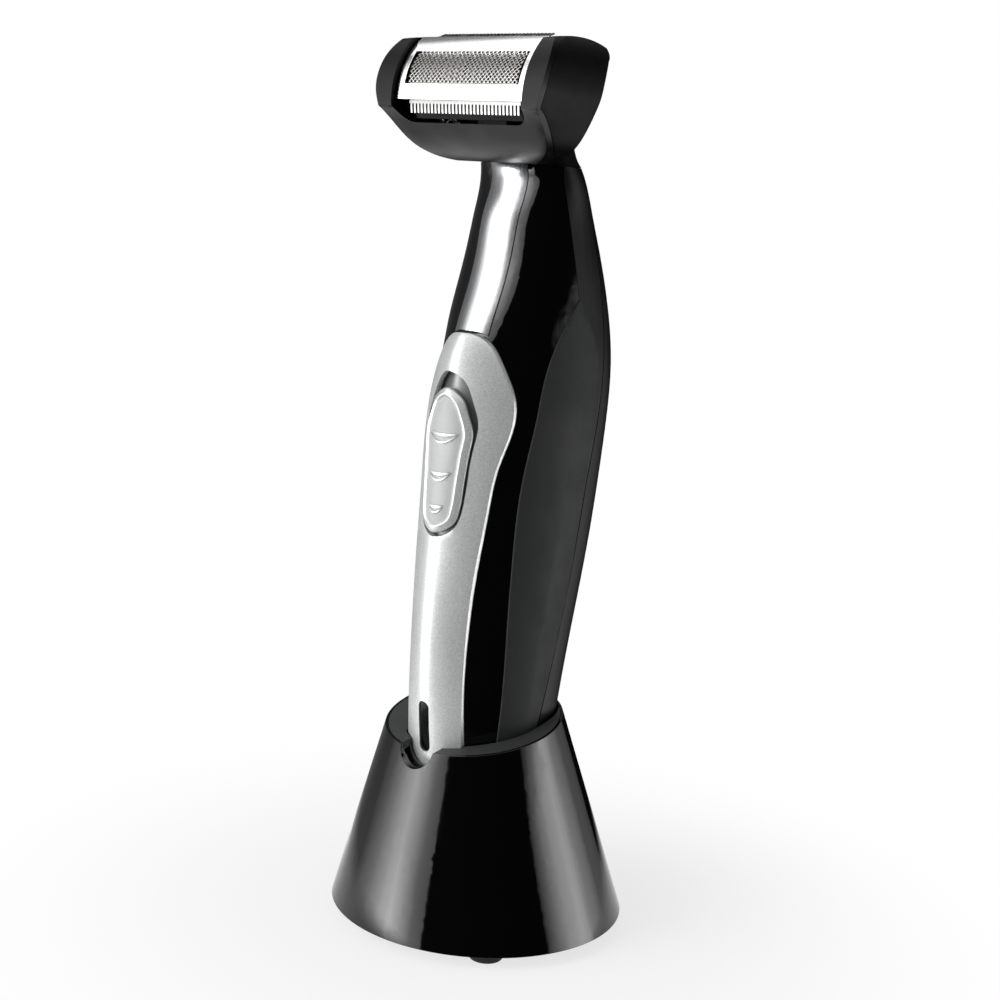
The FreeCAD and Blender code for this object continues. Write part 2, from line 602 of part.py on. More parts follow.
def cassette():
    """Floating shaving cassette: frame, foil, guard combs and their plastic carrier."""
    frame = drum_band(FOIL_RADIUS, FOIL_RADIUS - FRAME_THICK, *FRAME_ANGLES, FRAME_HALF)
    window = drum_band(FOIL_RADIUS + 1, FOIL_RADIUS - 3, *WINDOW_ANGLES, WINDOW_HALF)
    frame = frame.cut(window)
    axis = foil_axis()
    screen = rod(FOIL_BEND, (-WINDOW_HALF + 0.6, axis.y, axis.z), (WINDOW_HALF - 0.6, axis.y, axis.z))
    screen = screen.cut(rod(FOIL_BEND - 0.12, (-30, axis.y, axis.z), (30, axis.y, axis.z)))
    keep = drum_band(FOIL_RADIUS + 3, FOIL_RADIUS - FRAME_THICK - 2.4, -6, 56, 30)
    shadow = drum_band(FOIL_RADIUS + 3, FOIL_RADIUS - FRAME_THICK - SEAM, -6, 56, 30)
    shadow = shadow.cut(window)
    screen = screen.common(keep).cut(shadow)
    upper = comb(FOIL_RADIUS - FRAME_THICK - SEAM, 66.0, 8.0, 15.4, True)
    lower = comb(FOIL_RADIUS - 1.9, -4.0, 8.0, 15.6, False)
    ends = []
    for side in (-1, 1):
        cheek = drum_band(FOIL_RADIUS - FRAME_THICK, 7.0, 0.0, 55.0, 0.6, side * (FRAME_HALF - 0.6))
        ends.append(cheek)
    bars = drum_band(FOIL_RADIUS - 3.3, FOIL_RADIUS - 4.7, -9, 4, FRAME_HALF)
    bars = bars.cut(drum_band(FOIL_RADIUS, FOIL_RADIUS - 8.0, -6, 6, ARM_HALF + 2.0))
    skirt = drum_band(FOIL_RADIUS - 3.3, FOIL_RADIUS - 4.7, -18, -8, 15.0)
    carrier = fuse(ends + [bars, skirt])
    pieces = {"foil_frame": frame, "foil_screen": largest(screen), "upper_comb": upper,
              "lower_comb": lower, "cassette_carrier": carrier}
    seat = on_drum(FOIL_RADIUS - 4.7 - SPRING_END, -4.0)
    turn = math.radians(FACE_ANGLE)
    push = V(0, -math.cos(turn), math.sin(turn))
    length = (-9.4 - SPRING_END - seat.y) / math.cos(turn)
    for name, x in (("left", -13.0), ("right", 13.0)):
        spring = coil(1.1, 1.5, length, 0.2)
        spring.rotate(V(0, 0, 0), ACROSS, 90 - FACE_ANGLE)
        spring.translate(V(x, seat.y, seat.z) - push * length)
        pieces["cassette_spring_" + name] = spring
    return pieces


def cutters():
    """Moving cutter block with its blades, and the two moving trimmer blades."""
    axis = foil_axis()
    half = WINDOW_HALF - 3.0
    disc_r = FOIL_BEND - 0.4
    keep = drum_band(FOIL_RADIUS, FOIL_RADIUS - 3.6, 4, 46, 30)
    blades = []
    count = 16
    for n in range(count):
        x = -half + 2 * half * n / (count - 1)
        blade = rod(disc_r, (x - 0.2, axis.y, axis.z), (x + 0.2, axis.y, axis.z))
        blades.append(blade.common(keep))
    block = drum_band(FOIL_RADIUS - 3.6, FOIL_RADIUS - 7.4, 6, 44, half + 0.8)
    upper_arm = drum_band(FOIL_RADIUS - 3.9, FOIL_RADIUS - 5.4, 40, 61, ARM_HALF)
    lower_arm = drum_band(FOIL_RADIUS - 5.0, FOIL_RADIUS - 6.6, -10, 10, ARM_HALF)
    block = fuse([block, upper_arm, lower_arm])
    block = block.cut(drive_post(POST_RADIUS + 0.35, FOIL_RADIUS - 4.6))
    upper = comb(FOIL_RADIUS - FRAME_THICK - 0.75, 65.0, 8.0, 13.4, True)
    upper_leg = drum_band(FOIL_RADIUS - FRAME_THICK - 1.1, FOIL_RADIUS - 3.9, 57.5, 61, ARM_HALF)
    lower = comb(FOIL_RADIUS - 2.55, -4.5, 7.0, 13.4, False)
    lower_leg = drum_band(FOIL_RADIUS - 2.9, FOIL_RADIUS - 5.0, -4, 4, ARM_HALF)
    return {"cutter_block": block, "cutter_blades": Part.makeCompound(blades),
            "upper_blade": upper.fuse(upper_leg), "lower_blade": lower.fuse(lower_leg)}


def drive_post(radius, end):
    """Round post along the float direction, as far as a distance from the drum's axis."""
    return rod(radius, tuple(on_drum(3.2, FACE_ANGLE)), tuple(on_drum(end, FACE_ANGLE)))


def carrier_slide():
    """Sliding carrier in the head, driven by the lever's tip."""
    plate = box((-4.0, -13.4, 184.2), (4.0, LEVER_Y + 2.8, 186.6))
    half = LEVER_WIDTH / 2 + 0.3
    plate = plate.cut(box((-half, LEVER_Y - 1.8, 180), (half, LEVER_Y + 1.9, 190)))
    post = drive_post(POST_RADIUS, FOIL_RADIUS - 5.5 - FLOAT)
    neck = box((-2.2, -13.4, 186.0), (2.2, -10.2, 190.6))
    return {"blade_drive": fuse([plate, neck, post])}


# ---------------------------------------------------------------- stand
def stand_volume(inset):
    """Leaning cone between the round base and the tilted rim."""
    tilt = math.radians(RIM_TILT)
    lean = V(0, -math.sin(tilt), math.cos(tilt))
    base = Part.Wire([Part.Circle(V(0, 0, FOOT_HEIGHT), UP, BASE_RADIUS - inset).toShape()])
    rim = Part.Wire([Part.Circle(RIM_CENTRE, lean, RIM_RADIUS - inset).toShape()])
    return Part.makeLoft([base, rim], True, True)


def rim_disc(radius, thickness, drop=0.0):
    """Disc just below the tilted rim face."""
    tilt = math.radians(RIM_TILT)
    lean = V(0, -math.sin(tilt), math.cos(tilt))
    foot = RIM_CENTRE - lean * (thickness + drop)
    return Part.makeCylinder(radius, thickness, foot, lean)


def notch():
    """Round notch through the front of the rim."""
    hole = rod(NOTCH_RADIUS, (0, -40, NOTCH_HEIGHT), (0, -16, NOTCH_HEIGHT))
    return hole.fuse(box((-NOTCH_RADIUS, -40, NOTCH_HEIGHT), (NOTCH_RADIUS, -16, 60)))


def handle_room(gap):
    """The handle with its panel, grown by a gap."""
    room = handle_volume(-gap).fuse(panel_volume(-gap).common(panel_region(gap)))
    return room.fuse(Part.Face(section(HANDLE[0], HANDLE[0][1], -gap)).extrude(V(0, 0, -gap)))


def around(count, radius, start):
    """Places evenly round the base."""
    turns = [math.radians(start + 360 * n / count) for n in range(count)]
    return [(radius * math.cos(turn), radius * math.sin(turn)) for turn in turns]


def stand():
    """Cone shell, socket, base plate, feet and screws."""
    room = handle_room(SOCKET_GAP)
    shell = stand_volume(0).cut(stand_volume(STAND_WALL))
    shell = shell.cut(rim_disc(RIM_RADIUS - RIM_LIP, FLANGE + 1)).cut(notch()).cut(room)
    bosses = [rod(3.2, (x, y, PLATE_TOP), (x, y, 15)) for x, y in around(3, BOSS_CIRCLE, 270)]
    shell = largest(shell)
    for boss in bosses:
        shell = shell.fuse(boss.common(stand_volume(0.5)))
    for x, y in around(3, BOSS_CIRCLE, 270):
        shell = shell.cut(rod(BASE_SCREW_RADIUS, (x, y, 0), (x, y, 12)))
    shell = shell.cut(rod(4.6, (0, 20, INLET_HEIGHT), (0, 40, INLET_HEIGHT)))

    flange = rim_disc(RIM_RADIUS - RIM_LIP - SEAM, FLANGE)
    cup = handle_volume(-SOCKET_GAP - SOCKET_WALL).common(stand_volume(STAND_WALL + SEAM))
    cup = cup.common(box((-40, -40, SOCKET_FLOOR), (40, 40, 60)))
    floor = Part.Face(section(HANDLE[0], HANDLE[0][1], -SOCKET_GAP - SOCKET_WALL)).extrude(
        V(0, 0, -SOCKET_GAP - SOCKET_WALL))
    cup = cup.fuse(floor).common(stand_volume(STAND_WALL + SEAM)).fuse(flange)
    cup = cup.cut(room).cut(notch())
    for side in (-PIN_X, PIN_X):
        cup = cup.cut(rod(1.1, (side, PIN_Y, 10), (side, PIN_Y, 25)))

    plate = rod(BASE_RADIUS - STAND_WALL - PLATE_GAP, (0, 0, FOOT_HEIGHT), (0, 0, PLATE_TOP - SEAM))
    feet = []
    for x, y in around(4, FOOT_CIRCLE, 45):
        plate = plate.cut(rod(FOOT_RADIUS + SEAM, (x, y, 0), (x, y, FOOT_HEIGHT + 0.7)))
        foot = rod(FOOT_RADIUS, (x, y, 0), (x, y, FOOT_HEIGHT + 0.7))
        feet.append(foot.makeFillet(0.5, [foot.Edges[2]]))
    screws = []
    for x, y in around(3, BOSS_CIRCLE, 270):
        plate = plate.cut(rod(BASE_SCREW_RADIUS + 0.1, (x, y, 0), (x, y, 6)))
        plate = plate.cut(rod(2.4, (x, y, 0), (x, y, FOOT_HEIGHT + 0.7)))
        screws.append(fuse([rod(BASE_SCREW_RADIUS, (x, y, FOOT_HEIGHT + 0.2), (x, y, 10)),
                            rod(2.2, (x, y, FOOT_HEIGHT + 0.1), (x, y, FOOT_HEIGHT + 0.7))]))
    posts = [rod(2.0, (x, -4 + y, PLATE_TOP - SEAM - 0.2), (x, -4 + y, 8.0)) for x in (-9, 9) for y in (-6, 6)]
    plate = fuse([plate] + posts)
    return {"stand_shell": largest(shell), "socket_cup": largest(cup), "base_plate": plate,
            "rubber_feet": Part.makeCompound(feet), "base_screws": Part.makeCompound(screws)}


def stand_electrics():
    """Supply board, power inlet, and the two sprung contact pins under the socket."""
    plate = box((-13, -13, 8.0), (13, 27, 9.4))
    inlet = box((-4.4, 17.0, 9.4), (4.4, 26.6, 16.6))
    inlet = inlet.fuse(rod(4.3, (0, 26.6, INLET_HEIGHT), (0, 32.2, INLET_HEIGHT)).common(stand_volume(0.1)))
    inlet = inlet.cut(rod(2.75, (0, 20, INLET_HEIGHT), (0, 40, INLET_HEIGHT)))
    inlet = inlet.fuse(rod(0.9, (0, 19, INLET_HEIGHT), (0, 29.5, INLET_HEIGHT)))
    inlet = largest(inlet.common(box((-9, 10, 9.4), (9, 40, 20))))
    pieces = {"supply_board": plate, "power_inlet": inlet}
    for name, x in (("left", -PIN_X), ("right", PIN_X)):
        pin = fuse([rod(0.9, (x, PIN_Y, 11.4), (x, PIN_Y, 20.7)), rod(1.8, (x, PIN_Y, 14.6), (x, PIN_Y, 15.6))])
        spring = coil(1.35, 0.95, 4.7, 0.22)
        spring.translate(V(x, PIN_Y, 9.65))
        pieces["contact_pin_" + name] = pin
        pieces["contact_spring_" + name] = spring
    return pieces


def main():
    """Builds every piece and writes one STEP file for each."""
    os.makedirs("parts", exist_ok=True)
    for make in (stand, stand_electrics, casing, neck_trim, front_panel, indicator, board, grips, switch,
                 power_train, neck_end, charging, head_casing, cassette, cutters, carrier_slide):
        for name, shape in make().items():
            shape.exportStep("parts/" + name + ".step")
            solids = shape.Solids
            print("%-22s solids %2d  volume %9.1f  %s" % (
                name, len(solids), shape.Volume, "ok" if shape.isValid() else "NOT VALID"))


main()
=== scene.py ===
"""Looks of a body groomer standing in its charging stand: finishes, fine pieces, light and camera.

Metres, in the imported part's frame: +Z up, the groomer's front towards -Y, X across it.
"""

import json
import math

import bmesh
import bpy
from mathutils import Matrix, Vector


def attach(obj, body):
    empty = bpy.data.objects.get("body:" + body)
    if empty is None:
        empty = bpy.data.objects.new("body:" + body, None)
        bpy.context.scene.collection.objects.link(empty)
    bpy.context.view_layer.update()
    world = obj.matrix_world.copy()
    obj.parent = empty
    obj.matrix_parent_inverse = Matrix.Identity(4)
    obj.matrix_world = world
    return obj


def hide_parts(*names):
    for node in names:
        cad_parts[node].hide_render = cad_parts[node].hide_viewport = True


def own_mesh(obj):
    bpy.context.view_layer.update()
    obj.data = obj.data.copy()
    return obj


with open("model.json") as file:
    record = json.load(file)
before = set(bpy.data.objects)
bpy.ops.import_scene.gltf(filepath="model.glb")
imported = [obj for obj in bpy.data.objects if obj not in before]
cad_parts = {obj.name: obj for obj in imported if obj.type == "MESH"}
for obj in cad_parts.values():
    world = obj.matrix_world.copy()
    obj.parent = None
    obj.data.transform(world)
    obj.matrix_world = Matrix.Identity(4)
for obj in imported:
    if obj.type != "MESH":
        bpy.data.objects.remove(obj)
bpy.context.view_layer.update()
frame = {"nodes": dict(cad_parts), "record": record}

MM = 0.001
MERGE = 0.002 * MM           # points nearer than this are joined
SHARP = 35                   # degrees; edges sharper than this are rounded, or shaded crisp


# ---------------------------------------------------------------- colours and nodes
def linear(hex_colour):
    """Linear RGBA from an sRGB hex colour such as "#8a8c8b"."""
    channels = [int(hex_colour[i:i + 2], 16) / 255 for i in (1, 3, 5)]
    return [c / 12.92 if c <= 0.04045 else ((c + 0.055) / 1.055) ** 2.4 for c in channels] + [1.0]


def add(tree, kind, sockets=None, **settings):
    """One shader node with its settings; each socket gets a value or another node's output."""
    made = tree.nodes.new("ShaderNode" + kind)
    for name, value in settings.items():
        setattr(made, name, value)
    for name, value in (sockets or {}).items():
        if isinstance(value, bpy.types.NodeSocket):
            tree.links.new(value, made.inputs[name])
        else:
            made.inputs[name].default_value = value
    return made


def new_material(name):
    """Empty material: its node tree, its output node, and the surface's own place in metres."""
    material = bpy.data.materials.new(name)
    material.use_nodes = True
    tree = material.node_tree
    tree.nodes.clear()
    output = tree.nodes.new("ShaderNodeOutputMaterial")
    place = add(tree, "TexCoord").outputs["Object"]
    return material, tree, output, place


def surface(name, colour, roughness, grain_mm, bump_mm, rough_swing=0.05, colour_swing=0.1,
            wear_mm=7.0, stretch=(1, 1, 1), extra=None):
    """Finish with a grain that shades and dents it, and slow roughness changes from handling."""
    material, tree, output, place = new_material(name)
    run = add(tree, "Mapping", {"Vector": place, "Scale": stretch}).outputs["Vector"]
    grain = add(tree, "TexNoise", {"Vector": run, "Scale": 1 / (grain_mm * MM), "Detail": 3.0,
                                   "Roughness": 0.6}).outputs["Fac"]
    wear = add(tree, "TexNoise", {"Vector": run, "Scale": 1 / (wear_mm * MM), "Detail": 4.0,
                                  "Roughness": 0.55}).outputs["Fac"]
    rough = add(tree, "MapRange", {"Value": wear, "From Min": 0.3, "From Max": 0.7,
                                   "To Min": max(roughness - rough_swing, 0.01),
                                   "To Max": roughness + rough_swing}).outputs["Result"]
    shade = add(tree, "MapRange", {"Value": grain, "From Min": 0.3, "From Max": 0.7,
                                   "To Min": 1 - colour_swing, "To Max": 1 + colour_swing}).outputs["Result"]
    base = add(tree, "VectorMath", {0: linear(colour)[:3], "Scale": shade},
               operation="SCALE").outputs["Vector"]
    dent = add(tree, "Bump", {"Height": grain, "Strength": 1.0, "Distance": bump_mm * MM}).outputs["Normal"]
    sockets = {"Base Color": base, "Roughness": rough, "Normal": dent}
    sockets.update(extra or {})
    principled = add(tree, "BsdfPrincipled", sockets)
    tree.links.new(principled.outputs["BSDF"], output.inputs["Surface"])
    return material


METAL = {"Metallic": 1.0}

# Piano black ABS, moulded in a polished tool: deep black, mirror-like, faint wipe marks up its length.
piano_black = surface("piano_black_moulded_abs", "#040404", 0.055, 0.5, 0.00012, 0.02, 0.05,
                      wear_mm=2.5, stretch=(1, 1, 0.08))
# ABS moulded in a spark-eroded tool: soft satin sheen; its 0.05 mm grain is drawn at 0.2 mm to show.
satin_black = surface("satin_black_moulded_abs", "#070708", 0.36, 0.2, 0.0022, 0.04, 0.12,
                      extra={"Specular IOR Level": 0.18})
# The same with a coarser eroded grain, nearly without sheen.
matte_black = surface("matte_black_moulded_abs", "#060606", 0.48, 0.22, 0.004, 0.05, 0.12,
                      extra={"Specular IOR Level": 0.08})
# Grey-black ABS of the socket's rim, matte and a little lighter than the shell.
rim_black = surface("matte_socket_rim_abs", "#292b2a", 0.55, 0.22, 0.004, 0.05, 0.12)
# Thermoplastic elastomer, over-moulded: dark grey, soft, dusty highlights; 0.1 mm grain drawn at 0.2 mm.
grip_rubber = surface("overmoulded_elastomer", "#232424", 0.6, 0.2, 0.006, 0.05, 0.12,
                      extra={"Specular IOR Level": 0.2})
# Smoked acrylic: a dark clear window that shows mostly its own gloss.
smoked_acrylic = surface("smoked_acrylic", "#050505", 0.12, 0.5, 0.0002, 0.03, 0.1, wear_mm=3.0,
                         extra={"Specular IOR Level": 0.3})
# Chrome plated ABS with a satin undercoat: bright, its reflections softened.
satin_chrome = surface("satin_chrome_plated_abs", "#d3d4d6", 0.27, 0.4, 0.0002, 0.02, 0.02,
                       stretch=(1, 1, 0.1), extra=METAL)
# Stainless strip, ground along its length and polished: bright, with hair-fine lines drawn 0.12 mm apart.
polished_steel = surface("polished_stainless_strip", "#f0f0ef", 0.16, 0.12, 0.0003, 0.04, 0.05,
                         wear_mm=3.0, stretch=(0.06, 1, 1), extra=METAL)
# Electroformed nickel foil: thin, greyer and softer than the steel frame round it.
nickel_foil = surface("electroformed_nickel_foil", "#989693", 0.26, 0.3, 0.0004, 0.05, 0.08,
                      wear_mm=2.0, extra=METAL)
# Stamped and ground blade steel: satin, crossed by fine grinding lines.
blade_steel = surface("ground_blade_steel", "#929291", 0.28, 0.12, 0.0008, 0.06, 0.08,
                      wear_mm=2.0, stretch=(1, 0.1, 0.1), extra=METAL)
# Drawn and zinc-plated steel of springs, screws and the motor can.
plated_steel = surface("zinc_plated_steel", "#b3b4b3", 0.3, 0.3, 0.001, 0.08, 0.1, wear_mm=3.0, extra=METAL)
# Nickel-plated brass of contact parts, warm and bright.
contact_brass = surface("plated_contact_brass", "#cdb271", 0.24, 0.25, 0.0008, 0.06, 0.08,
                        wear_mm=2.0, extra=METAL)
# Glass epoxy laminate under green solder mask.
solder_mask = surface("green_solder_mask", "#1b5a32", 0.3, 0.4, 0.003, 0.06, 0.15, wear_mm=3.0)
# Natural acetal of small working parts: milky white and waxy.
natural_acetal = surface("natural_acetal", "#dcdad0", 0.4, 0.5, 0.002, 0.05, 0.04,
                         extra={"Subsurface Weight": 0.1, "Subsurface Scale": 0.001})
# Black acetal of the working parts that show under the shaving head: waxy and dark.
black_acetal = surface("black_acetal", "#0a0a0a", 0.42, 0.5, 0.002, 0.05, 0.08,
                       extra={"Specular IOR Level": 0.3})
# Printed shrink sleeve round the battery cell: taut glossy film.
shrink_sleeve = surface("green_shrink_sleeve", "#2c6a40", 0.26, 0.6, 0.003, 0.06, 0.06)


def silver_lacquer_finish():
    """Silver metallic lacquer on ABS: a bright grey with sparkling flakes under a thin clear coat.

    The flakes are about 0.05 mm wide and are drawn at 0.2 mm so that they show.
    """
    material, tree, output, place = new_material("silver_metallic_lacquer")
    flake = add(tree, "TexVoronoi", {"Vector": place, "Scale": 1 / (0.2 * MM), "Randomness": 1.0})
    pick = add(tree, "SeparateColor", {"Color": flake.outputs["Color"]}).outputs["Red"]
    spark = add(tree, "MapRange", {"Value": pick, "To Min": 0.86, "To Max": 1.14}).outputs["Result"]
    cloud = add(tree, "TexNoise", {"Vector": place, "Scale": 1 / (9 * MM), "Detail": 3.0}).outputs["Fac"]
    rough = add(tree, "MapRange", {"Value": cloud, "From Min": 0.3, "From Max": 0.7, "To Min": 0.38,
                                   "To Max": 0.46}).outputs["Result"]
    base = add(tree, "VectorMath", {0: linear("#c3c5c4")[:3], "Scale": spark}, operation="SCALE")
    dent = add(tree, "Bump", {"Height": pick, "Strength": 1.0, "Distance": 0.004 * MM}).outputs["Normal"]
    principled = add(tree, "BsdfPrincipled", {
        "Base Color": base.outputs["Vector"], "Roughness": rough, "Normal": dent, "Metallic": 0.5,
        "Coat Weight": 0.1, "Coat Roughness": 0.2})
    tree.links.new(principled.outputs["BSDF"], output.inputs["Surface"])
    return material


silver_lacquer = silver_lacquer_finish()
# The button's sunk pad: the silver, spark-eroded and matte so that the thumb does not slip; its colour is
# darkened as painted shade, the dimmer light that a dished pad takes.
matte_pad_silver_painted_shade = surface("matte_pad_lacquer_painted_shade", "#a3a5a4", 0.6, 0.2, 0.004, 0.05, 0.08,
                       extra={"Metallic": 0.2, "Specular IOR Level": 0.3})
# Floor of the switch recess: the silver lacquer darkened, painted shade of the recess and of the gap round
# the button.
recess_shade_lacquer = surface("recess_floor_painted_shade", "#6f7170", 0.36, 0.2, 0.003, 0.05, 0.1,
                       extra={"Metallic": 0.6})

FINISHES = {
    piano_black: ["stand_shell", "front_shell"],
    satin_black: ["back_cover", "head_bezel"],
    matte_black: ["head_housing", "base_plate", "bottom_cap", "neck_plug", "power_inlet", "cutter_block",
                  "cassette_carrier"],
    rim_black: ["socket_cup"],
    silver_lacquer: ["front_panel", "power_switch"],
    # the recess floor's lacquer is darkened: painted shade
    recess_shade_lacquer: ["slide_plate"],
    satin_chrome: ["neck_trim"],
    grip_rubber: ["grip_left", "grip_right", "rubber_feet", "lever_seal"],
    smoked_acrylic: ["indicator_lens"],
    polished_steel: ["foil_frame"],
    nickel_foil: ["foil_screen"],
    blade_steel: ["upper_comb", "lower_comb", "cutter_blades", "upper_blade", "lower_blade"],
    plated_steel: ["base_screws", "cap_screws", "lever_pivot", "motor", "motor_shaft", "contact_spring_left",
                   "contact_spring_right", "cassette_spring_left", "cassette_spring_right"],
    contact_brass: ["battery_tabs", "contact_pin_left", "contact_pin_right", "charge_contacts"],
    solder_mask: ["control_board", "supply_board"],
    natural_acetal: ["motor_mount", "crank", "drive_lever", "contact_slider", "charge_light"],
    black_acetal: ["blade_drive"],
    shrink_sleeve: ["battery_cell"],
}
FINISH_OF = {node: material for material, nodes in FINISHES.items() for node in nodes}
BODY_OF = {node: body for body, nodes in frame["record"]["behaviour"]["bodies"].items() for node in nodes}
for node, material in FINISH_OF.items():
    frame["nodes"][node].data.materials.clear()
    frame["nodes"][node].data.materials.append(material)


# ---------------------------------------------------------------- building pieces
def merged_copy(node):
    """The node's mesh in a bmesh, its loose triangles joined and its flat faces cleaned."""
    shape = bmesh.new()
    shape.from_mesh(frame["nodes"][node].data)
    bmesh.ops.remove_doubles(shape, verts=shape.verts, dist=MERGE)
    bmesh.ops.dissolve_limit(shape, angle_limit=math.radians(0.05), verts=shape.verts, edges=shape.edges)
    return shape


def piece(name, shape, material, body, stands_for=(), sharp=SHARP):
    """Turns a bmesh into an object that rides on a body; edges over the sharp angle stay crisp."""
    mesh = bpy.data.meshes.new(name)
    for face in shape.faces:
        face.smooth = True
    shape.to_mesh(mesh)
    shape.free()
    mesh.set_sharp_from_angle(angle=math.radians(sharp))
    mesh.materials.append(material)
    made = bpy.data.objects.new(name, mesh)
    bpy.context.scene.collection.objects.link(made)
    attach(made, body)
    if stands_for:
        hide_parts(*stands_for)
    return made


def soften(made, width_mm, segments):
    """Rounds the sharp edges of a piece."""
    bevel = made.modifiers.new("edge_radius", "BEVEL")
    bevel.width = width_mm * MM
    bevel.segments = segments
    bevel.limit_method = "ANGLE"
    bevel.angle_limit = math.radians(SHARP)
    bevel.use_clamp_overlap = True
    bevel.harden_normals = True


# node, name of its softened piece, the edge radius that moulding or stamping leaves, and its steps
SOFT_EDGES = [("stand_shell", "stand_cone", 0.3, 3), ("socket_cup", "socket_rim", 0.25, 3),
              ("front_panel", "silver_front", 0.3, 3), ("grip_right", "right_grip", 0.25, 2),
              ("grip_left", "left_grip", 0.25, 2), ("head_bezel", "bezel", 0.45, 4),
              ("head_housing", "head_body", 0.3, 3), ("foil_frame", "steel_frame", 0.12, 2),
              ("rubber_feet", "feet", 0.3, 3)]


def softened_casings():
    """Casings, panels, grips and frame with their edge radii."""
    for node, name, width_mm, segments in SOFT_EDGES:
        made = piece(name, merged_copy(node), FINISH_OF[node], BODY_OF[node], (node,))
        soften(made, width_mm, segments)


softened_casings()


# ---------------------------------------------------------------- neck strip
STRIP_CROWN = 1.0            # millimetres that the strip bulges at its middle
STRIP_HALF = 5.2
STRIP_STEPS = 14


def neck_strip():
    """Plated strip up the neck, crowned across its width."""
    shape = merged_copy("neck_trim")
    for step in range(1, STRIP_STEPS):
        x = (2 * step / STRIP_STEPS - 1) * STRIP_HALF * MM
        bmesh.ops.bisect_plane(shape, geom=shape.verts[:] + shape.edges[:] + shape.faces[:],
                               plane_co=(x, 0, 0), plane_no=(1, 0, 0))
    for vert in shape.verts:
        share = min(abs(vert.co.x) / (STRIP_HALF * MM), 1)
        vert.co.y -= STRIP_CROWN * MM * (1 - share ** 2)
    made = piece("plated_strip", shape, satin_chrome, "handle", ("neck_trim",))
    soften(made, 0.15, 2)


neck_strip()


# ---------------------------------------------------------------- shaving foil
DRUM = Vector((0, -8.8, 189.3)) * MM
FOIL_CREST = 16.2 * MM       # the foil's crest from the drum's axis
FOIL_BEND = 9.0 * MM
FOIL_MIDDLE = math.radians(25)
FOIL_HALF = 15.3 * MM
HOLE_PITCH = 0.78 * MM       # real foils have holes about 0.4 mm apart; drawn coarser so that they show
BAR = 0.29 * MM
FOIL_GAUGE = 0.1 * MM
FOIL_UP = 4.15 * MM          # half of the foil's length round its bend


def foil_lattice():
    """Perforated foil: a diagonal lattice of bars, bent over the cutters."""
    shape = bmesh.new()
    reach = (FOIL_HALF + FOIL_UP) / math.sqrt(2) + HOLE_PITCH
    cells = int(2 * reach / HOLE_PITCH)
    bmesh.ops.create_grid(shape, x_segments=cells, y_segments=cells, size=reach,
                          matrix=Matrix.Rotation(math.radians(45), 4, "Z"))
    holes = shape.faces[:]
    bmesh.ops.inset_individual(shape, faces=holes, thickness=BAR / 2)
    bmesh.ops.delete(shape, geom=holes, context="FACES")
    for axis, limit in (((1, 0, 0), FOIL_HALF), ((0, 1, 0), FOIL_UP)):
        for sign in (-1, 1):
            normal = Vector(axis) * sign
            bmesh.ops.bisect_plane(shape, geom=shape.verts[:] + shape.edges[:] + shape.faces[:],
                                   plane_co=normal * limit, plane_no=normal, clear_outer=True)
    outward = Vector((0, -math.cos(FOIL_MIDDLE), math.sin(FOIL_MIDDLE)))
    upward = Vector((0, math.sin(FOIL_MIDDLE), math.cos(FOIL_MIDDLE)))
    axis = DRUM + outward * (FOIL_CREST - FOIL_BEND)
    for vert in shape.verts:
        bend = vert.co.y / FOIL_BEND
        ring = outward * math.cos(bend) + upward * math.sin(bend)
        vert.co = axis + ring * FOIL_BEND + Vector((vert.co.x, 0, 0))
    made = piece("perforated_foil", shape, nickel_foil, "cassette", ("foil_screen",))
    wall = made.modifiers.new("foil_gauge", "SOLIDIFY")
    wall.thickness = FOIL_GAUGE
    wall.offset = 0


foil_lattice()

BLADE_START = math.radians(6)    # the blades end here, clear of the comb's top edge at 4 degrees


def blade_row():
    """Cutting blades behind the foil, their lower ends trimmed clear of the lower comb."""
    shape = merged_copy("cutter_blades")
    along = Vector((0, -math.cos(BLADE_START), math.sin(BLADE_START)))
    upwards = Vector((0, math.sin(BLADE_START), math.cos(BLADE_START)))
    bmesh.ops.bisect_plane(shape, geom=shape.verts[:] + shape.edges[:] + shape.faces[:],
                           plane_co=DRUM + along * FOIL_CREST, plane_no=upwards, clear_inner=True)
    bmesh.ops.holes_fill(shape, edges=[edge for edge in shape.edges if edge.is_boundary])
    bmesh.ops.recalc_face_normals(shape, faces=shape.faces)
    piece("blade_row", shape, blade_steel, "cutter", ("cutter_blades",))


blade_row()


def spring(node):
    """Coil spring: a merged copy of the node's mesh, with a mesh of its own, riding on the node's body."""
    shape = bmesh.new()
    shape.from_mesh(frame["nodes"][node].data)
    bmesh.ops.remove_doubles(shape, verts=shape.verts, dist=MERGE)
    made = piece(node + "_coil", shape, plated_steel, BODY_OF[node], (node,))
    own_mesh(made)


def springs():
    """Springs under the charging pins and behind the shaving cassette."""
    for side, sign in (("left", -1), ("right", 1)):
        spring("contact_spring_" + side)
        spring("cassette_spring_" + side)


springs()


# ---------------------------------------------------------------- slide switch
# silver panel's surface in millimetres: height, front line, back line, half width, roundness
PANEL_ROWS = [(94.0, -24.3, 19.2, 18.0, 1.60), (110.0, -23.4, 21.6, 18.3, 1.68),
              (124.0, -22.7, 23.2, 18.3, 1.65), (134.0, -21.4, 24.0, 17.6, 1.50)]
WAIST = 0.52                 # where the handle is widest, as a share of the way from front to back
BUTTON_TOP = 127.6
BUTTON_BOTTOM = 95.3
BUTTON_HALF = 6.5
# how the button swells and narrows: share of its length from the top, share of its half width
PEBBLE = [(0.065, 0.55), (0.17, 0.80), (0.30, 1.00), (0.45, 0.94), (0.63, 0.87), (0.82, 0.80), (0.935, 0.62)]
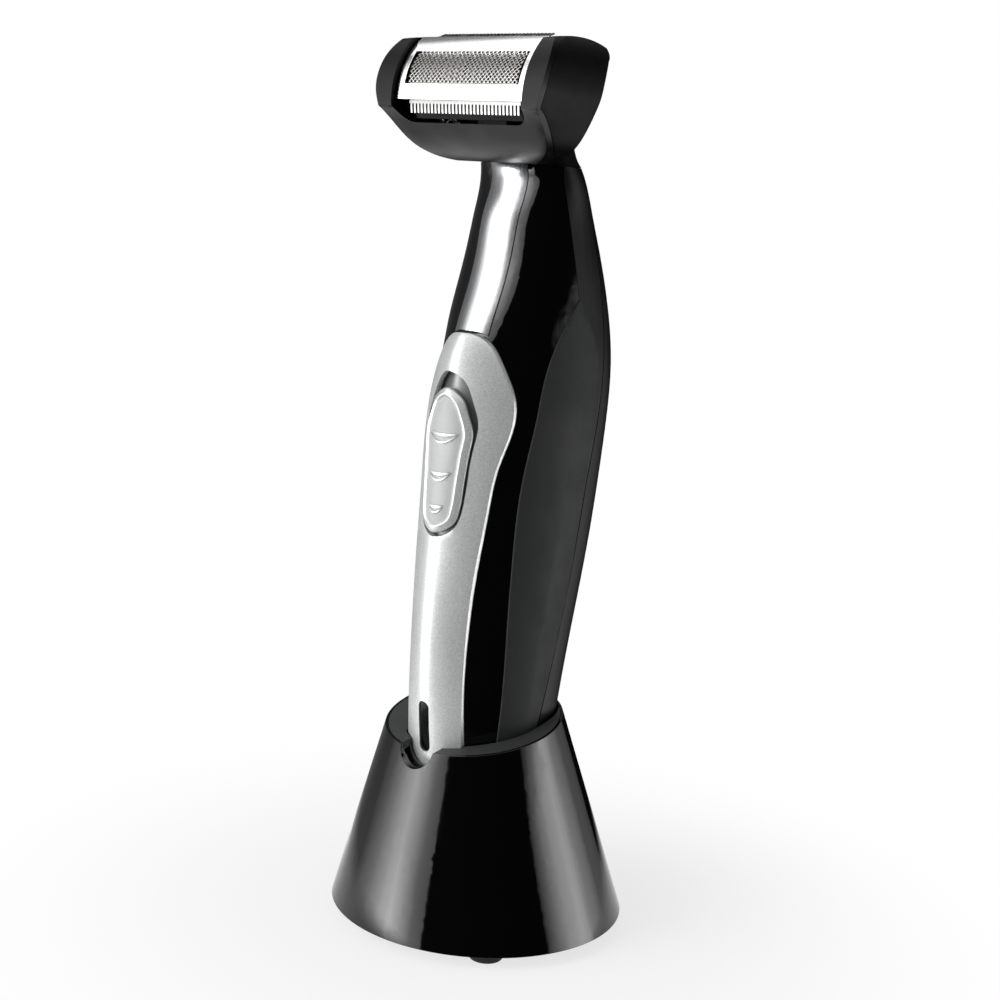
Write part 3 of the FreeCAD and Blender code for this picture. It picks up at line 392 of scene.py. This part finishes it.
# profile from the outline inwards: distance from it and height over the panel, in millimetres
BUTTON_PROFILE = [(0.0, -1.5), (0.02, 0.25), (0.12, 0.38), (0.7, 0.62), (1.3, 0.87), (1.42, 0.9),
                  (1.54, 0.86), (1.85, 0.5), (2.0, 0.36), (2.2, 0.34), (2.6, 0.4), (3.2, 0.47),
                  (4.2, 0.53), (9.0, 0.56)]
PAD_START = 7                # profile row where the matte pad begins
# height of the tips, reach, sag of the upper arc and of the lower arc
MOONS = [(117.7, 3.8, 0.5, 2.2), (109.0, 2.9, 0.5, 1.9), (101.5, 1.9, 0.4, 1.6)]
UPPER_ARC = 0.55             # half widths of the arcs
LOWER_ARC = 0.34
ARC_STEPS = 18
ARC_FOOT = 0.45              # heights over the panel: the arc's foot, its crest at the tips,
ARC_CREST = 0.62             # what the crest gains in the middle, and the root inside the pad
ARC_SWELL = 0.28
ARC_ROOT = 0.1
ARC_FLAT = 0.55              # width of the flat crest, as a share of the arc's
SPINE_TOP = BUTTON_TOP - 5.2  # the button's outlines shrink towards a line between these heights
SPINE_BOTTOM = BUTTON_BOTTOM + 4.4


def panel_front(x, z):
    """Front-to-back place of the silver panel's surface, in millimetres."""
    column = [0.0] * 4
    for this in PANEL_ROWS:
        share = 1.0
        for other in PANEL_ROWS:
            if other is not this:
                share *= (z - other[0]) / (this[0] - other[0])
        column = [value + share * own for value, own in zip(column, this[1:])]
    low, high, wide, power = column
    depth = WAIST * (high - low)
    return low + depth - depth * (1 - min(abs(x / wide), 1) ** power) ** (1 / power)


def over_panel(x, z, height):
    """Point at a height over the silver panel, along the panel's normal, in metres."""
    step = 0.05
    slope_x = (panel_front(x + step, z) - panel_front(x - step, z)) / (2 * step)
    slope_z = (panel_front(x, z + step) - panel_front(x, z - step)) / (2 * step)
    outward = Vector((slope_x, -1, slope_z)).normalized()
    return (Vector((x, panel_front(x, z), z)) + outward * height) * MM


def pebble_outline(steps=7):
    """Smooth closed outline of the button in its front plane."""
    right = [(BUTTON_HALF * wide, BUTTON_TOP - (BUTTON_TOP - BUTTON_BOTTOM) * down) for down, wide in PEBBLE]
    knots = [(0, BUTTON_TOP)] + right + [(0, BUTTON_BOTTOM)] + [(-x, z) for x, z in reversed(right)]
    knots = [Vector(knot) for knot in knots]
    points = []
    for i in range(len(knots)):
        before, start, end, after = (knots[(i + k) % len(knots)] for k in (-1, 0, 1, 2))
        for n in range(steps):
            t = n / steps
            square = (2 * before - 5 * start + 4 * end - after) * t ** 2
            cube = (3 * start - before - 3 * end + after) * t ** 3
            points.append(0.5 * (2 * start + (end - before) * t + square + cube))
    return points


def arc_ridge(shape, tips, reach, sag, half_width):
    """Raised arc across the button's pad, its tips turned up."""
    rings = []
    for n in range(ARC_STEPS + 1):
        s = 2 * n / ARC_STEPS - 1
        swell = math.sqrt(max(1 - s * s, 0.0015))
        x = reach * s
        z = tips - sag * (1 - s * s)
        half = half_width * swell
        crest = ARC_CREST + ARC_SWELL * swell
        section = [(half, ARC_FOOT), (ARC_FLAT * half, crest), (-ARC_FLAT * half, crest),
                   (-half, ARC_FOOT), (0, ARC_ROOT)]
        rings.append([shape.verts.new(over_panel(x, z + up, height)) for up, height in section])
    corners = len(section)
    for low, high in zip(rings, rings[1:]):
        for k in range(corners):
            shape.faces.new((low[k], low[(k + 1) % corners], high[(k + 1) % corners], high[k]))
    shape.faces.new(rings[0])
    shape.faces.new(reversed(rings[-1]))


def switch_button():
    """Slide button: sloping rim, sunk matte pad and three raised crescents for the thumb."""
    shape = bmesh.new()
    outline = pebble_outline()
    rings = []
    for inwards, height in BUTTON_PROFILE:
        ring = []
        for point in outline:
            spine = Vector((0, min(max(point.y, SPINE_BOTTOM), SPINE_TOP)))
            gap = (spine - point).length
            place = point.lerp(spine, min(inwards / gap, 1))
            ring.append(shape.verts.new(over_panel(place.x, place.y, height)))
        rings.append(ring)
    count = len(outline)
    for row, (low, high) in enumerate(zip(rings, rings[1:])):
        for i in range(count):
            face = shape.faces.new((low[i], low[(i + 1) % count], high[(i + 1) % count], high[i]))
            face.material_index = int(row >= PAD_START)
    shape.faces.new(rings[0])
    bmesh.ops.remove_doubles(shape, verts=shape.verts, dist=0.001 * MM)
    for tips, reach, upper_sag, lower_sag in MOONS:
        arc_ridge(shape, tips, reach, upper_sag, UPPER_ARC)
        arc_ridge(shape, tips, reach, lower_sag, LOWER_ARC)
    bmesh.ops.recalc_face_normals(shape, faces=shape.faces)
    made = piece("slide_button", shape, silver_lacquer, "switch", ("power_switch",), sharp=50)
    # the pad's faces take the darker silver: painted shade
    made.data.materials.append(matte_pad_silver_painted_shade)


switch_button()


# ---------------------------------------------------------------- camera
CAMERA_PLACE = Vector((0.24222, -0.30451, 0.16750))
CAMERA_TURN = math.radians(38.5)     # from the object's front, towards its right side
CAMERA_HEADING = math.radians(38.63)
CAMERA_DIP = math.radians(9.79)
CAMERA_ROLL = math.radians(-4.0)
LENS_MM = 61.16


def place_camera():
    """Camera a little above the object's middle, to its right front, rolled four degrees."""
    ahead = Vector((-math.sin(CAMERA_HEADING) * math.cos(CAMERA_DIP),
                    math.cos(CAMERA_HEADING) * math.cos(CAMERA_DIP), -math.sin(CAMERA_DIP)))
    level = Vector((math.cos(CAMERA_HEADING), math.sin(CAMERA_HEADING), 0))
    above = level.cross(ahead)
    right = level * math.cos(CAMERA_ROLL) - above * math.sin(CAMERA_ROLL)
    up = above * math.cos(CAMERA_ROLL) + level * math.sin(CAMERA_ROLL)
    data = bpy.data.cameras.new("camera")
    data.lens = LENS_MM
    data.clip_start = 0.01
    camera = bpy.data.objects.new("camera", data)
    camera.matrix_world = Matrix.Translation(CAMERA_PLACE) @ Matrix((right, up, -ahead)).transposed().to_4x4()
    bpy.context.scene.collection.objects.link(camera)
    bpy.context.scene.camera = camera


place_camera()


# ---------------------------------------------------------------- table and light
TABLE_RADIUS = 1.1
LIGHT_DISTANCE = 1.0


def studio_object(name, shape, material):
    """Turns a bmesh into an object of the studio."""
    mesh = bpy.data.meshes.new(name)
    shape.to_mesh(mesh)
    shape.free()
    mesh.materials.append(material)
    made = bpy.data.objects.new(name, mesh)
    bpy.context.scene.collection.objects.link(made)
    return made


def pale_table():
    """Pale round table top that fades into the white surroundings.

    Mirror-like surfaces see it only close to the object, as they see a small table in a dark studio.
    """
    material, tree, output, place = new_material("pale_table_top")
    away = add(tree, "VectorMath", {0: place}, operation="LENGTH").outputs["Value"]
    glossy = add(tree, "LightPath").outputs["Is Glossy Ray"]
    fade = add(tree, "MapRange", {"Value": away, "From Min": 0.03, "From Max": 0.14, "To Min": 0.74},
               interpolation_type="SMOOTHSTEP").outputs["Result"]
    gloom = add(tree, "MapRange", {"Value": away, "From Min": 0.05, "From Max": 0.12},
                interpolation_type="SMOOTHSTEP").outputs["Result"]
    unseen = add(tree, "Math", {0: gloom, 1: glossy}, operation="MULTIPLY").outputs["Value"]
    pale = add(tree, "BsdfDiffuse", {"Color": linear("#efefef")}).outputs["BSDF"]
    white = add(tree, "Emission", {"Color": linear("#ffffff"), "Strength": 1.0}).outputs["Emission"]
    clear = add(tree, "BsdfTransparent").outputs["BSDF"]
    table_look = add(tree, "MixShader", {"Fac": fade, 1: pale, 2: white}).outputs["Shader"]
    look = add(tree, "MixShader", {"Fac": unseen, 1: table_look, 2: clear}).outputs["Shader"]
    tree.links.new(look, output.inputs["Surface"])
    shape = bmesh.new()
    bmesh.ops.create_circle(shape, cap_ends=True, segments=128, radius=TABLE_RADIUS)
    table = studio_object("table_top", shape, material)


pale_table()


def studio():
    """White surroundings; mirror-like surfaces see a dark studio with a white ceiling."""
    world = bpy.data.worlds.new("studio")
    bpy.context.scene.world = world
    world.use_nodes = True
    tree = world.node_tree
    tree.nodes.clear()
    output = tree.nodes.new("ShaderNodeOutputWorld")
    path = add(tree, "LightPath")
    aim = add(tree, "TexCoord").outputs["Generated"]
    height = add(tree, "SeparateXYZ", {"Vector": aim}).outputs["Z"]
    ceiling = add(tree, "MapRange", {"Value": height, "From Min": 0.5, "From Max": 0.8, "To Min": 0.004,
                                     "To Max": 1.6}, interpolation_type="SMOOTHSTEP").outputs["Result"]
    white = add(tree, "Background", {"Color": linear("#ffffff"), "Strength": 1.0}).outputs["Background"]
    soft = add(tree, "Background", {"Color": linear("#ffffff"), "Strength": 0.35}).outputs["Background"]
    dark = add(tree, "Background", {"Color": linear("#ffffff"), "Strength": ceiling}).outputs["Background"]
    glossy = path.outputs["Is Glossy Ray"]
    camera = path.outputs["Is Camera Ray"]
    unseen = add(tree, "MixShader", {"Fac": glossy, 1: soft, 2: dark}).outputs["Shader"]
    look = add(tree, "MixShader", {"Fac": camera, 1: unseen, 2: white}).outputs["Shader"]
    tree.links.new(look, output.inputs["Surface"])


studio()

# bearing from the camera's side in degrees, and brightness there
LEFT_GLOW = [(-165, 0.1), (-125, 0.13), (-107, 0.25), (-90, 1.2), (-78, 2.9), (-67, 5.6), (-58, 7.8),
             (-46, 4.8), (-38, 2.3), (-29, 1.5), (-28, 0.0)]
RIGHT_GLOW = [(54, 0.0), (57, 0.9), (63, 2.1), (75, 4.8), (88, 5.6), (101, 2.4), (118, 0.6), (140, 0.15)]
# height in metres, share of the brightness, and how far the bearings lean there
LEFT_ROWS = [(-0.4, 2.2, -10), (-0.2, 1.7, -10), (0.0, 1.0, -10), (0.18, 1.0, 0), (0.6, 1.0, 0),
             (1.2, 0.8, 0)]
RIGHT_ROWS = [(-0.4, 1.0, 4), (0.0, 1.0, 4), (0.12, 1.0, 0), (0.2, 0.35, 0), (0.3, 0.0, 0)]


def light_screen(name, glow, rows):
    """Tall curved screen of light round the object; its brightness changes with bearing and height."""
    shape = bmesh.new()
    layer = shape.verts.layers.float.new("glow")
    grid = []
    for height, share, lean in rows:
        line = []
        for turn, brightness in glow:
            bearing = CAMERA_TURN + math.radians(turn + lean)
            out = Vector((math.sin(bearing), -math.cos(bearing), 0)) * LIGHT_DISTANCE
            vert = shape.verts.new((out.x, out.y, height))
            vert[layer] = brightness * share
            line.append(vert)
        grid.append(line)
    for low, high in zip(grid, grid[1:]):
        for i in range(len(low) - 1):
            shape.faces.new((low[i], low[i + 1], high[i + 1], high[i]))
    material, tree, output, _ = new_material(name + "_glow")
    brightness = add(tree, "Attribute", attribute_name="glow").outputs["Fac"]
    light = add(tree, "Emission", {"Color": linear("#ffffff"), "Strength": brightness})
    tree.links.new(light.outputs["Emission"], output.inputs["Surface"])
    screen = studio_object(name, shape, material)
    screen.visible_camera = False
    screen.visible_shadow = False


CARD_PLACE = (-0.235, 0.095, -0.1)
CARD_RADIUS = 0.13
CARD_GLOW = 2.8


def low_card():
    """Patch of light under the table's level, seen only in the head's downward-facing chin."""
    material, tree, output, _ = new_material("low_card_glow")
    light = add(tree, "Emission", {"Color": linear("#ffffff"), "Strength": CARD_GLOW})
    tree.links.new(light.outputs["Emission"], output.inputs["Surface"])
    material.cycles.emission_sampling = "NONE"
    shape = bmesh.new()
    bmesh.ops.create_circle(shape, cap_ends=True, segments=32, radius=CARD_RADIUS)
    card = studio_object("low_card", shape, material)
    card.matrix_world = Matrix.Translation(CARD_PLACE)
    card.visible_camera = False
    card.visible_shadow = False


low_card()
light_screen("left_screen", LEFT_GLOW, LEFT_ROWS)
light_screen("right_screen", RIGHT_GLOW, RIGHT_ROWS)
bpy.context.scene.view_settings.view_transform = "Standard"
